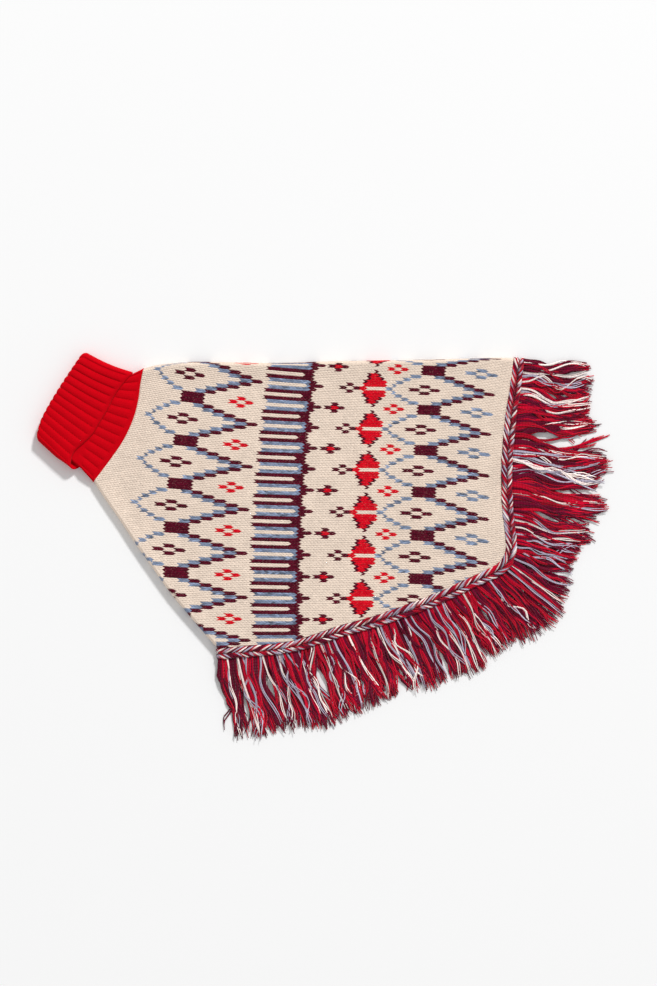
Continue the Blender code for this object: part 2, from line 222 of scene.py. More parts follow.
cloth = {
    "half": 3.3,  # from the middle to the face of either layer
    "wall": 2.8,
    "foldRise": 2.4,
    "foldReach": 15.0,
    "ripple": 0.7,
    # two waves, multiplied: radians to a millimetre of x, to one of y, and at the origin
    "ripples": ((0.021, 0.013, 0.0), (-0.008, 0.027, 1.1)),
    "grid": (110, 170),
    "crowding": 0.9,  # of the grid's columns, towards the spine and the chest
    "shade": 1.12,  # painted light: the backing's colour made lighter, against the shadow it lies in under its stitches
    "skin": 0.06,  # depth of the backing shell below the crests of the stitches
    "under": 0.45,  # height of the lower face above the floor
}
knit = {
    "repeat": 12,  # wales
    "rows": (-16, 112),
    "wales": (-110, 80),
    # centres of motifs, read off the photograph: row, first wale, then x, y repeat by repeat
    "landmarks": [
        (0.5, 0, [(-168.8, 177.3), (-176.6, 132.0), (-183.9, 88.9), (-191.1, 46.2)]),
        (11, 0, [(-135.1, 174.6), (-143.0, 129.1), (-150.0, 85.1), (-155.3, 42.0), (-156.0, -2.9)]),
        (13, 6, [(-132.6, 151.1), (-139.4, 106.1), (-145.4, 63.1), (-148.1, 19.9), (-148.6, -25.1)]),
        (18, 3.5, [
            (-115.3, 157.1), (-122.0, 113.5), (-126.5, 70.2), (-130.2, 27.4), (-131.2, -17.1),
            (-129.7, -63.6),
        ]),
        (21, 2.5, [
            (-104.0, 159.0), (-110.2, 116.3), (-115.0, 73.0), (-118.7, 30.2), (-120.2, -13.9),
            (-118.1, -58.9),
        ]),
        (24, 1.5, [
            (-92.1, 161.1), (-98.1, 118.4), (-103.1, 75.7), (-106.8, 33.0), (-108.2, -11.0),
            (-107.5, -55.0),
        ]),
        (26.5, 6, [
            (-84.2, 144.7), (-90.3, 102.3), (-94.4, 59.1), (-97.4, 16.4), (-97.8, -27.6), (-96.5, -71.6),
        ]),
        (30, 0, [
            (-66.9, 165.6), (-73.1, 122.3), (-78.9, 79.9), (-81.7, 37.0), (-83.6, -6.6), (-83.6, -49.7),
            (-81.7, -91.9),
        ]),
        (32.5, 3, [
            (-61.2, 152.3), (-66.2, 111.3), (-70.5, 69.0), (-73.8, 25.5), (-75.2, -17.5), (-74.5, -60.5),
        ]),
        (45, 3, [
            (-18.4, 150.2), (-22.9, 109.0), (-27.1, 67.0), (-29.6, 25.0), (-31.4, -18.0), (-31.4, -62.0),
        ]),
        (53.5, -6, [
            (13.0, 180.1), (9.0, 138.6), (5.5, 99.1), (2.1, 56.8), (-0.5, 14.3), (-2.9, -29.4),
            (-2.1, -74.6),
        ]),
        (57.5, 0, [(24.4, 158.9), (20.2, 119.0), (16.9, 77.6), (13.6, 34.9), (11.9, -7.4), (10.6, -52.3)]),
        (65, 0, [(49.4, 158.4), (45.4, 119.1), (42.7, 77.3), (39.7, 34.4), (37.7, -7.7), (35.9, -51.6)]),
        (71.5, -6, [(71.6, 178.0), (67.4, 137.0), (64.4, 98.1), (62.1, 55.3), (60.4, 12.4), (58.3, -30.0)]),
        (80, 0, [(98.8, 155.6), (94.9, 118.0), (92.4, 76.0), (90.9, 32.4), (89.4, -10.3), (87.4, -52.5)]),
        (82, -6, [
            (107.4, 176.4), (103.6, 135.9), (100.7, 97.0), (98.3, 53.8), (97.5, 11.1), (95.4, -32.1),
        ]),
        (96, -6, [(155.8, 173.4), (150.9, 133.0), (147.2, 94.3), (147.2, 50.4), (146.7, 6.4)]),
        (99, 0, [(164.1, 151.0), (159.0, 114.1), (157.0, 72.0), (157.1, 27.4), (155.7, -14.9)]),
    ],
    "lead": 0.25,  # rows by which the middle of a stitch lies ahead of its row
    "crowded": 6.0,  # how far the wales are drawn into the panel where they crowd at the spine fold
    "crowdedReach": 8.0,
    "degree": 4,  # of the smooth map
    "scale": (50, 36),  # rows and wales that count as 1 in its powers
    "foldWales": (-24, 12, 400),  # from, to and how many: where the fold is looked for
    "corner": (-190, 186),  # about where row 0 and wale 0 meet
    "pitch": (3.6, 3.7),  # about how far rows and wales are apart
    "colours": {
        "cream": (235, 216, 199),
        "blue": (124, 138, 163),
        "burgundy": (84, 4, 30),
        "red": (214, 2, 30),
    },
    # one leg of a stitch: rows along, wales from the middle, half width in wales, crest height
    "leg": [
        (-0.76, 0.42, 0.00, -0.07),
        (-0.14, 0.30, 0.33, 0.09),
        (0.56, 0.18, 0.34, 0.09),
        (1.26, 0.03, 0.00, -0.07),
    ],
    "edge": -0.13,
    "atNeck": -0.5,  # how far a stitch's middle lies from the edges
    "atChest": -0.4,
    "atHem": 0.8,
    "unevenness": np.array([0.035, 0.27, 0.18, 0.09]),  # of each yarn's lightness
    "shades": (0.4, 1.7),  # darkest and lightest
}
cream, blue, burgundy, red = 0, 1, 2, 3
# motifs: (middle wale, first row, [(wales to each side, from row, to row, yarn)])
diamond = [
    (0, 0, 1, blue), (1, 2, 2, blue), (2, 3, 4, blue), (3, 5, 6, blue), (4, 7, 9, blue),
    (5, 10, 16, burgundy), (6, 10, 16, burgundy), (4, 14, 16, blue), (4, 17, 19, burgundy),
    (3, 17, 19, blue), (3, 20, 22, burgundy), (2, 20, 22, blue), (2, 23, 25, burgundy),
    (1, 23, 25, blue), (1, 26, 28, burgundy), (0, 26, 28, blue), (0, 29, 31, burgundy),
    (0, 7, 9, burgundy), (1, 10, 12, burgundy), (0, 13, 15, burgundy),
]
stripes = [
    (0, 12, 12, blue), (0, 13, 16, burgundy), (1, 1, 12, blue), (1, 13, 14, burgundy),
    (2, 0, 13, burgundy), (3, 11, 13, burgundy),
]
cross = [(0, -1, 0, burgundy), (0, 1, 2, red), (0, 3, 4, burgundy), (1, 1, 2, burgundy)]
hexagon = [
    (0, -7, -6, burgundy), (1, -5, -4, burgundy), (0, -3, -2, burgundy), (0, -1, 0, red),
    (1, 0, 6, red), (2, 0, 0, burgundy), (2, 1, 6, red), (3, 1, 1, burgundy), (3, 2, 4, red),
    (3, 5, 5, burgundy), (4, 1, 4, burgundy), (4, 2, 3, red), (5, 3, 3, burgundy),
]
smallFlower = [(0, 0, 1, red), (1, 2, 3, red), (0, 4, 5, red)]
wideFlower = [(0, 0, 2, blue), (1, 3, 5, blue), (0, 6, 8, blue)]
motifs = [
    (0, 0, diamond), (6, 24, smallFlower), (0, 33, stripes), (6, 33, stripes), (6, 52, cross),
    (0, 62, hexagon), (6, 69, smallFlower), (0, 69, diamond), (6, 92, wideFlower),
]


def knittingChart():  # yarn of each stitch by row, from knit["rows"][0], and by wale within the repeat
    first, last = knit["rows"]
    chart = np.zeros((last - first, knit["repeat"]), int)
    for middle, start, runs in motifs:
        for side, begin, end, yarn in runs:
            for wale in (middle - side, middle + side):
                chart[start + begin - first : start + end + 1 - first, wale % knit["repeat"]] = yarn
    return chart


def powers(row, wale):  # the powers of row and wale, of the map's degree together at most
    r, k = row / knit["scale"][0], wale / knit["scale"][1]
    count = knit["degree"] + 1
    return np.stack([r**i * k**j for i in range(count) for j in range(count - i)], axis=-1)


def fittedMap():
    # Where rows and wales lie: the smooth map nearest to the landmarks, and how far the landmarks of each
    # row are off it towards the hem on average, as some rows are tighter and some looser.
    table = []
    for row, first, line in knit["landmarks"]:
        for n, (x, y) in enumerate(line):
            table.append((row + knit["lead"], first + n * knit["repeat"], x, y))
    row, wale, x, y = np.array(table).T
    terms = powers(row, wale)
    smooth = np.linalg.lstsq(terms, np.stack([x, y], -1), rcond=None)[0]
    off = x - terms @ smooth[:, 0]
    rows = np.unique(row)
    return smooth, rows, np.array([off[row == r].mean() for r in rows])


panelMap, landmarkRows, rowShift = fittedMap()
half = cloth["half"]


def spineY(x):
    return np.interp(x, spineLine[:, 0], spineLine[:, 1])


def quarter(flat, high):  # length of a quarter of an ellipse
    return math.pi / 4 * (3 * (flat + high) - math.sqrt((3 * flat + high) * (flat + 3 * high)))


foldHigh = half + cloth["foldRise"] + cloth["ripple"]
upperTurn, lowerTurn = quarter(half, foldHigh), quarter(half, half)


def onPanel(row, wale):  # where a place of the chart lies, with the wales crowded at the spine
    place = powers(row, wale) @ panelMap
    x, y = place[..., 0] + np.interp(row, landmarkRows, rowShift), place[..., 1]
    past = (spineY(x) + upperTurn - half + knit["crowded"] - y) / knit["crowdedReach"]
    return x, y - knit["crowded"] * np.exp(-(past**2))


chestStart = chestLine[0]
chestAlong = unit(chestLine[-1] - chestStart)
chestIn = np.array([-chestAlong[1], chestAlong[0]])
chestRun, chestBow = (chestLine - chestStart) @ chestAlong, -(chestLine - chestStart) @ chestIn


def insideChest(x, y):  # distance from the bowed chest seam into the panel
    along = (x - chestStart[0]) * chestAlong[0] + (y - chestStart[1]) * chestAlong[1]
    inside = (x - chestStart[0]) * chestIn[0] + (y - chestStart[1]) * chestIn[1]
    return inside + np.interp(along, chestRun, chestBow)


def lift(x, y, fromFold):  # how much the upper layer stands above flat: higher at the folds, soft ripples
    fold = cloth["foldRise"] * np.exp(-((fromFold / cloth["foldReach"]) ** 2))
    one, two = (np.sin(byX * x + byY * y + start) for byX, byY, start in cloth["ripples"])
    return fold + cloth["ripple"] * (1 + one * two)


def foldWales():  # the wale that lies on the outermost line of the spine fold, by row
    rows = np.arange(knit["rows"][0] - 3, knit["rows"][1] + 4)
    wales = np.linspace(*knit["foldWales"])
    r, w = np.meshgrid(rows, wales, indexing="ij")
    x, y = onPanel(r, w)
    over = y - (spineY(x) + upperTurn - half)
    return rows, np.array([np.interp(0, -line, wales) for line in over])


foldTable = foldWales()


def kept(x, y):  # a plan point moved onto the panel if it lies past the neck or the hem
    points = np.stack([x.ravel(), y.ravel()], -1)
    for curve, normals, side in ((neckLine, neckOut, -1), (hemLine, hemOut, 1)):
        past, near = beyond(points, curve, normals)
        points = points - normals[near] * (side * np.maximum(side * past, 0))[:, None]
    return points[:, 0].reshape(x.shape), points[:, 1].reshape(x.shape)


def raised(x, depth, lower, height):
    # A plan point given by x and its depth from the spine's outermost line, on the upper or lower face of
    # the cloth, and height outside it. Along the spine and the chest the faces meet in half an ellipse.
    y = spineY(x) - depth
    inside = insideChest(x, y)
    x, y = x - np.minimum(inside, 0) * chestIn[0], y - np.minimum(inside, 0) * chestIn[1]
    fold = np.arccos(1 - np.clip(depth / half, 0, 1))
    seam = np.arccos(1 - np.clip(inside / half, 0, 1))
    top = half + lift(x, y, np.minimum(depth, np.maximum(inside, 0)))
    up = np.sin(fold) * np.sin(seam)
    z = half + up * np.where(lower, cloth["under"] - half - height, top + height)
    x = x - chestIn[0] * np.cos(seam) * height
    y = y + (np.cos(fold) - chestIn[1] * np.cos(seam)) * height
    return np.stack([x, y, z], axis=-1)


def onCloth(row, wale, height):
    # A point of the knit: the fabric lies flat above, turns round the spine in a quarter of an ellipse above
    # and one below, and comes back mirrored on the lower layer.
    row, wale, height = np.broadcast_arrays(row, wale, height)
    fold = np.interp(row, *foldTable)
    lower = wale < fold
    x, y = onPanel(row, fold + np.abs(wale - fold))
    x, y = kept(x, y)
    run = np.maximum(spineY(x) + upperTurn - half - y, 0)
    turn = np.where(lower, lowerTurn, upperTurn)
    depth = half * (1 - np.cos(np.clip(run / turn, 0, 1) * math.pi / 2)) + np.maximum(run - turn, 0)
    return raised(x, depth, lower, height)


spindle = np.array([  # 8 points: an end, two rings of crest, left and right, and an end
    (0, 1, 2), (0, 3, 1), (1, 4, 5), (1, 5, 2), (3, 6, 4), (3, 4, 1), (7, 5, 4), (7, 4, 6),
    (0, 2, 3), (2, 5, 6), (2, 6, 3), (7, 6, 5),
])
legPoints = 8
bakeScale, bakeCorner = (0.26, 0.5), (0.19, 0.13)  # a leg's rows and wales on its square of the bake map


def stitches(surface, row, wale, legs, edge):
    # The two legs of each stitch as closed three-sided spindles on a surface that takes (row, wale, height).
    # Returns points, faces, and a cell of the bake map for each stitch.
    rings = []
    for along, off, wide, crest in legs:
        sides = (0, 1, -1) if wide else (0,)
        rings += [(along, off + side * wide, edge if side else crest) for side in sides]
    rings = np.array(rings)
    both = np.stack([rings * (1, side, 1) for side in (1, -1)])
    along, over, height = np.moveaxis(both[None], -1, 0)
    points = surface(row[:, None, None] + along, wale[:, None, None] + over, height).reshape(-1, 3)
    faces = np.concatenate([spindle[:, ::-1], spindle + legPoints])
    flat = rings[spindle][..., :2] * bakeScale + bakeCorner
    flat[8:, :, 0] += 0.5  # the underside beside the top
    flat = np.concatenate([flat[:, ::-1], flat + (0, 0.5)])
    return points, repeated(faces, len(row), 2 * legPoints), bakeCells(flat, len(row))


def bakeCells(flat, copies):  # the same small chart in a square of the bake map for each copy
    across = math.ceil(math.sqrt(copies))
    corner = np.stack([np.arange(copies) % across, np.arange(copies) // across], -1)
    return ((flat[None] + corner[:, None, None]) / across).reshape(-1, 2)


def yarnOf(row, wale):  # colour of a stitch by the chart
    line = np.rint(row).astype(int) - knit["rows"][0]
    kind = chart[np.clip(line, 0, len(chart) - 1), np.rint(wale).astype(int) % knit["repeat"]]
    return palette[kind], kind


def placeOnChart(x, y):  # row and wale at a plan point: Newton's method on the fitted map
    row, wale = (x - knit["corner"][0]) / knit["pitch"][0], (knit["corner"][1] - y) / knit["pitch"][1]
    rounds, step = 8, 0.1
    for _ in range(rounds):
        here = np.stack(onPanel(row, wale))
        down = (np.stack(onPanel(row + step, wale)) - here) / step
        over = (np.stack(onPanel(row, wale + step)) - here) / step
        miss = np.stack([x, y]) - here
        scale = down[0] * over[1] - down[1] * over[0]
        row = row + (miss[0] * over[1] - miss[1] * over[0]) / scale
        wale = wale + (down[0] * miss[1] - down[1] * miss[0]) / scale
    return row, wale


def panelRows(shares):  # rows from the neck, 0, to the hem, 1, blended from the panel's four edges
    spine, chest = alongCurve(spineLine, shares)[:, None], alongCurve(chestLine, shares)[:, None]
    down, over = shares[:, None, None], np.linspace(0, 1, outline["samples"])[:, None]
    ends = (1 - over) * ((1 - down) * neckLine[0] + down * hemLine[0]) + over * (
        (1 - down) * neckLine[-1] + down * hemLine[-1]
    )
    return (1 - down) * neckLine + down * hemLine + (1 - over) * spine + over * chest - ends


def eased(count, crowd):  # shares from 0 to 1, crowded at both ends
    share = np.linspace(0, 1, count)
    return share - crowd * np.sin(2 * math.pi * share) / (2 * math.pi)


def bodyShell():
    # The backing of the stitches: rows of the panel on the upper and the lower layer, an outer skin out and
    # an inner skin back, joined all round.
    rows = panelRows(np.linspace(0, 1, cloth["grid"][0]))
    plan = np.stack([alongCurve(row, eased(cloth["grid"][1], cloth["crowding"])) for row in rows])
    x, y = plan[..., 0], plan[..., 1]
    depth = np.maximum(spineY(x) - y, 0)
    row, wale = placeOnChart(x, y)
    mirrored = 2 * np.interp(row, *foldTable) - wale
    skins, colours = [], []
    for height in (-cloth["skin"], -cloth["wall"]):
        upper = raised(x, depth, np.zeros(x.shape, bool), height)
        lower = raised(x, depth, np.ones(x.shape, bool), height)[:, -2:0:-1]
        skins.append(np.concatenate([upper, lower], axis=1))
        shade = np.concatenate([yarnOf(row, wale)[0], yarnOf(row, mirrored)[0][:, -2:0:-1]], axis=1)
        # painted light: the backing's chart colours made lighter, against the shadow it lies in under its
        # stitches
        colours.append(shade * cloth["shade"])
    points = np.concatenate([skins[0], skins[1][::-1]])
    colour = np.concatenate([colours[0], colours[1][::-1]])
    faces = gridFaces(*points.shape[:2], True, True)
    return points.reshape(-1, 3), faces, colour.reshape(-1, 3)


def knitted():
    # every stitch whose middle lies on the panel, first those of the upper layer and then those of the lower
    row, wale = np.meshgrid(np.arange(*knit["rows"]), np.arange(*knit["wales"]), indexing="ij")
    row, wale = row.ravel().astype(float), wale.ravel().astype(float)
    fold = np.interp(row, *foldTable)
    x, y = onPanel(row, fold + np.abs(wale - fold))
    middle = np.stack([x, y], -1)
    fits = (beyond(middle, neckLine, neckOut)[0] > knit["atNeck"]) & (insideChest(x, y) > knit["atChest"])
    fits &= beyond(middle, hemLine, hemOut)[0] < knit["atHem"]
    for lower in (False, True):
        chosen = fits & ((wale < fold) == lower)
        r, w = row[chosen], wale[chosen]
        points, faces, cells = stitches(onCloth, r, w, knit["leg"], knit["edge"])
        colour, kind = yarnOf(r, w)
        uneven = 1 + knit["unevenness"][kind][:, None] * chance.normal(0, 1, (len(r), 2))
        colour = (colour[:, None] * uneven.clip(*knit["shades"])[..., None]).reshape(-1, 3)
        name = "knitLower" if lower else "knitUpper"
        yield name, points, faces, np.repeat(colour, legPoints, axis=0), cells


chart = knittingChart()
palette = np.array([fromScreen(*knit["colours"][k]) for k in ("cream", "blue", "burgundy", "red")])
chance = np.random.default_rng(11)


collar = {
    "fold": [(-241.5, 196.0), (-264.5, 162.0), (-283.0, 130.0), (-289.5, 108.3)],
    "flap": [  # free edge of the turned-down flap, spine to chest
        (-191.5, 174.5), (-202.4, 162.4), (-211.4, 149.5), (-217.3, 137.6), (-226.2, 122.8), (-232.1, 112.9),
        (-240.1, 105.0), (-249.0, 97.0), (-253.0, 90.0), (-254.3, 83.0), (-254.5, 76.2),
    ],
    # where the stand comes out from under the flap
    "stand": [(-191.5, 174.5), (-204.5, 158.0), (-220.0, 131.0), (-236.5, 103.0), (-244.5, 76.3)],
    "lag": (9.5, 1.0),  # how much farther the flap reaches underneath, at the chest
    "dip": 2.2,  # how far the spine side sags
    "depth": 51.0,  # from the fold to the free edge
    "wall": 2.2,
    "rib": 1.2,
    "ribs": 12,
    "steps": 10,  # points across a rib
    "foldSteps": 16,  # round either fold of the tube, two ribs
    "cut": 1.08,  # depth of a groove, in ribs
    "roundness": 0.62,  # the power of the sine that a rib's section follows
    "scallop": 0.9,  # how far the ribs stand out along the fold
    "band": 0.75,  # how much of a rib is left where the ribs end in a plain edge
    "flapGap": 0.4,
    "gap": 0.9,  # inside the stand
    "cornerRound": 4.5,
    "cornerReach": 0.15,
    "seamLap": 0.5,  # how far the seam lies over the edge of the neck
    "flapBand": (0.91, 0.955),  # where the ribs turn into the plain band, in depths of the flap
    "standBand": (1.76, 1.83),  # the same before the seam, 2
    "sink": (0.35, 0.92, 0.99),  # how much thinner the flap gets towards its free edge, from where to where
    # round the free edge and into the seam: place, share of the wall, share of the rib, how far ribbed
    "edgeRound": [(0.985, 0.55, 0.5, 1), (1.0, 0.25, 0.2, 0.5)],
    "seamRound": [(1.97, 0.95, 1.0, 1), (2.0, 0.6, 0.5, 1)],
    "colour": (199, 0, 17),
    # as for the body
    "stitch": [
        (-0.60, 0.42, 0.00, -0.20),
        (-0.06, 0.30, 0.22, 0.13),
        (0.52, 0.19, 0.23, 0.13),
        (1.10, 0.05, 0.00, -0.20),
    ],
    "stitchEdge": -0.25,
    "rowPitch": 2.7,
}


def tubeLoop(line, share, angle, inset, high, middle):
    # A loop of points round a flattened tube that follows a line: even shares on the upper and lower faces,
    # and half circles of radius high at both ends, where share is not a number.
    run = arcLengths(line)
    start, stop = inset + high, run[-1] - inset - high
    at = start + share * (stop - start)
    at = np.where(np.isnan(share), np.where(angle > -1.6, stop, start) + high * np.cos(angle), at)
    plan = [np.interp(at, run, line[:, k]) for k in (0, 1)]
    return np.stack([*plan, middle + high * np.sin(angle)], axis=-1)


def tubePlaces(count, turns):
    # share and angle of each place round a tube: above, chest fold, below, spine fold
    flat = np.linspace(0, 1, count + 1)
    turn = np.arange(1, turns) / turns * math.pi
    empty = np.full(turns - 1, np.nan)
    share = np.concatenate([flat, empty, flat[::-1], empty])
    right = math.pi / 2
    angle = np.concatenate([flat * 0 + right, right - turn, flat * 0 - right, -right - turn])
    return share, angle


def lengthened(curve, extra):  # the same row, longer at both ends
    head, tail = unit(curve[0] - curve[1]), unit(curve[-1] - curve[-2])
    longer = np.vstack([curve[0] + head * extra, curve, curve[-1] + tail * extra])
    return alongCurve(longer, np.linspace(0, 1, len(curve)))


foldLine, flapLine, standLine = (smoothCurve(collar[k]) for k in ("fold", "flap", "stand"))
seamLine = lengthened(neckLine + neckOut * collar["seamLap"], collar["wall"] + collar["flapGap"])


def collarRow(line, place):
    # a row at the fold, 0, at the line where the flap or the stand ends, 1, at the seam, 2
    if place > 1:
        return line + (seamLine - line) * (place - 1)
    sag = collar["dip"] * math.sin(math.pi * place) * np.linspace(1, 0, len(line)) ** 3
    return foldLine + (line - foldLine) * place - np.stack([sag * 0, sag], -1)


def bump(value, low, high):  # 0 below low, 1 above high, smooth between
    t = np.clip((value - low) / (high - low), 0, 1)
    return t * t * (3 - 2 * t)


def collarSection():
    # The collar's section from the neck seam up the stand, over the fold, down the flap and back up to the
    # seam: line, place, depth outside the stand's inner face, height of a rib, 1 if ribbed, and how far it
    # faces the fold.
    wall, gap, rib = collar["wall"], collar["flapGap"], collar["rib"]
    flap = wall + gap
    turn = (flap + wall) / 2 / collar["depth"]
    inside = [(standLine, place, 0, 0, 0, 0) for place in np.linspace(2, turn, 12)]
    outside = []
    for bend in np.radians(np.arange(-60, 80, 20)):
        up, ahead = (1 + math.sin(bend)) / 2, math.cos(bend)
        outside.append((flapLine, turn * (1 - ahead), up * (flap + wall), up * rib, 1, ahead))
    sink, *sinkRange = collar["sink"]
    for place in np.linspace(turn, 0.97, 30):
        sunk = 1 - sink * bump(place, *sinkRange)
        outside.append((flapLine, place, flap + wall * sunk, rib * sunk, 1, 0))
    hidden = [(flapLine, p, flap + wall * w, rib * r, ribbed, 0) for p, w, r, ribbed in collar["edgeRound"]]
    hidden += [(flapLine, collar["edgeRound"][0][0], flap + 0.1, 0, 0, 0)]
    hidden += [(flapLine, place, flap, 0, 0, 0) for place in np.linspace(0.9, turn, 6)]
    hidden += [(standLine, turn - gap / 2 / collar["depth"], wall + gap / 2, 0, 0, 0)]
    hidden += [(standLine, place, wall, 0, 0, 0) for place in np.linspace(turn, 0.9, 5)]
    shown = np.linspace(0.96, 1.93, 26)
    stand = [(standLine, place, wall, rib * bump(place, 0.9, 1.05), 1, 0) for place in shown]
    seam = [(standLine, p, wall * w, rib * r, ribbed, 0) for p, w, r, ribbed in collar["seamRound"]]
    return inside, outside, hidden, stand, seam


def collarShell():
    # Loops of points for each row of the section. The ribs follow a sine to a power below 1, so they have
    # full backs and narrow grooves; they turn into plain bands at the free edge and the seam.
    wall, rib = collar["wall"], collar["rib"]
    share, angle = tubePlaces(collar["ribs"] * collar["steps"], collar["foldSteps"])
    turns = np.where(np.isnan(share), 2 * angle, math.pi * collar["ribs"] * share)
    wave = 1 - collar["cut"] * (1 - np.abs(np.sin(turns)) ** collar["roundness"])
    along = np.where(np.isnan(share), angle > -1.6, share)
    below = (1 - np.sin(angle)) / 2 * bump(along, 0.6, 1)
    away = unit(foldLine.mean(0) - flapLine.mean(0))
    whole = 2 * wall + collar["flapGap"] + rib
    loops, counts = [], []
    for rows in collarSection():
        counts.append(len(rows))
        for line, place, depth, stand, ribbed, facing in rows:
            onFlap = line is flapLine
            plain = bump(place, *collar["flapBand" if onFlap else "standBand"])
            risen = (wave + (collar["band"] - wave) * plain) * min(ribbed, 1)
            depths = depth + stand * risen
            near = max(1 - place / collar["cornerReach"], 0)
            inset = whole - rib - depths + collar["cornerRound"] * (1 - math.sqrt(1 - near**2))
            under = whole + collar["gap"] / 2
            middle = under + (wall + rib - whole) * bump(place, 1, 2)
            high = collar["gap"] / 2 + depths
            loop = tubeLoop(collarRow(line, place), share, angle, np.maximum(inset, 0), high, middle)
            loop[:, :2] += away * ((wave - 1) * collar["scallop"] * facing)[:, None]
            if onFlap:
                loop[:, :2] += np.array(collar["lag"]) * (below * bump(place, 0.5, 1))[:, None]
            loops.append(loop)
    return np.stack(loops), np.cumsum(counts)


def onGrid(grid, row, column, height):  # a point above a grid surface, by its place in the grid
    row, column, height = np.broadcast_arrays(row, column, height)
    row, column = np.clip(row, 0, len(grid) - 1.001), np.clip(column, 0, grid.shape[1] - 1.001)
    i, j = row.astype(int), column.astype(int)
    u, v = (row - i)[..., None], (column - j)[..., None]
    a, b, c, d = grid[i, j], grid[i, j + 1], grid[i + 1, j], grid[i + 1, j + 1]
    across, along = (b - a) * (1 - u) + (d - c) * u, (c - a) * (1 - v) + (d - b) * v
    place = (a * (1 - v) + b * v) * (1 - u) + (c * (1 - v) + d * v) * u
    return place + unit(np.cross(across, along)) * height[..., None]


def ribStarts():  # the columns of the collar's loops where ribs begin, right round
    flat, turn = collar["ribs"] * collar["steps"], collar["foldSteps"]
    above = np.arange(0, flat, collar["steps"])
    round_ = np.array([0, turn // 2])
    once = np.concatenate([above, flat + round_])
    return np.concatenate([once, once + flat + turn, [2 * (flat + turn)]])


def collarStitches(loops, first, last):
    # two wales of stitches to a rib, in rows along the outer face that the loops from first to last make
    grid = np.concatenate([loops[first:last], loops[first:last, :1]], axis=1)
    run = arcLengths(grid[:, collar["ribs"] * collar["steps"] // 2])
    starts = ribStarts()

    def onRibs(row, wale, height):
        at = np.interp(row * collar["rowPitch"], run, np.arange(len(run)))
        return onGrid(grid, at, np.interp(wale, 2 * np.arange(len(starts)), starts), height)

    rows = np.arange(1, run[-1] / collar["rowPitch"] - 1)
    row, wale = (a.ravel() for a in np.meshgrid(rows, np.arange(2 * len(starts) - 2) + 0.5, indexing="ij"))
    return stitches(onRibs, row, wale, collar["stitch"], collar["stitchEdge"])


trim = {
    "gap": 0.3,
    "width": 10.7,
    "rootLine": 8.4,  # where the strands' roots lie
    "half": 3.7,
    "wall": 3.2,
    # along the hem as in the outline: the strands' length, bearing in degrees, and how far they sweep aside
    "strands": [
        (75, -5, -1), (75, -2, -5), (83, -1, -9), (100, -1, -9), (102, -1, -8), (98, -2, -7), (78, -5, -6),
        (66, -15, -4), (78, -40, -2), (78, -50, 0), (74, -48, 1), (80, -60, 2), (82, -67, 3), (79, -67, 3),
        (80, -67, 3), (85, -73, 3), (86, -76, 3), (85, -83, 2), (83, -88, 0),
    ],
    "sweepPart": (0.12, 0.62),  # where along a strand it sweeps aside
    "pitch": 2.9,  # of the braid's strokes along the hem
    "stroke": 0.92,  # half the thickness of a stroke
    "middle": 6.2,  # of the braid, from the hem
    # one stroke: across from the braid's middle, along, height above the band, thickness
    "arm": [
        (5.0, -0.6, -2.6, 0.6),
        (4.9, 0.6, -0.6, 0.85),
        (4.3, 2.7, 0.5, 1.05),
        (3.1, 5.1, 0.9, 1.1),
        (1.6, 7.6, 0.6, 1.0),
        (0.3, 9.8, -0.6, 0.7),
    ],
    # on the body's side and on the fringe's: how much longer a stroke is along and across
    "stretch": ((1.4, 1.16), (0.9, 0.86)),
    "turn": (3, 0, 2, 1),  # yarns of four strokes that follow each other
    # how common each yarn is where a stroke has another, and how often it has
    "astrayYarns": (0.3, 0.34, 0.2, 0.16, 0.35),
    "middleYarns": (0.5, 0.22, 0.2, 0.08, 0.6),  # the same for a stroke's end in the braid's middle
    "strokeStray": (0.55, 0.3),  # how far strokes stray along and across
    "yarnChange": (4.0, 8.0),  # where along a stroke its yarn changes
    "strokeSizes": (0.82, 1.12),
    "strokeFlat": 0.8,
    "strokeShade": 0.1,
    "bandRows": ((0, -1.4), (0.5, -0.8)),  # of the band's rounded edges: from its edge, height
    "around": 500,  # points round the band
    "layers": {  # strands, lowest and highest root, how common each yarn is
        "fringeUpper": (1440, 2.6, 6.2, (0.46, 0.42, 0.06, 0.06)),
        "fringeLower": (1100, 1.1, 3.2, (0.4, 0.54, 0.03, 0.03)),
    },
    "bandColour": (128, 14, 44),
    "stations": 16,
    "radius": 0.78,
    "palePart": 0.8,  # of that, for pale strands
    # painted shade and highlight round a strand, from one side over the top: the sides and underside darker
    # where others shade it, the top lighter
    "paintedStrandShade": (0.52, 1.25, 0.52, 0.35),
    "tipLight": 0.3,  # how much lighter a strand's tip is
    "wisp": 9.5,  # mm of hem that a wisp takes
    "gather": 0.65,
    "lean": (4.5, 1.5),  # degrees, of a wisp and of a strand in it
    "bend": (5.0, 1.8),
    "sway": 2.5,
    "wave": 1.5,
    "ownWave": 0.6,
    "ply": 2,  # strands of a yarn
    "beside": (0.8, 1.4),  # mm between them at the root and the tip
    "paleWave": 1.4,  # pale strands lie looser, on top
    "astray": 0.12,  # share of strands that stray
    "strayed": 6.0,  # how much farther those lean and bend
    "endRoom": 1.5,  # how far strands may lean past the spine and the chest
}
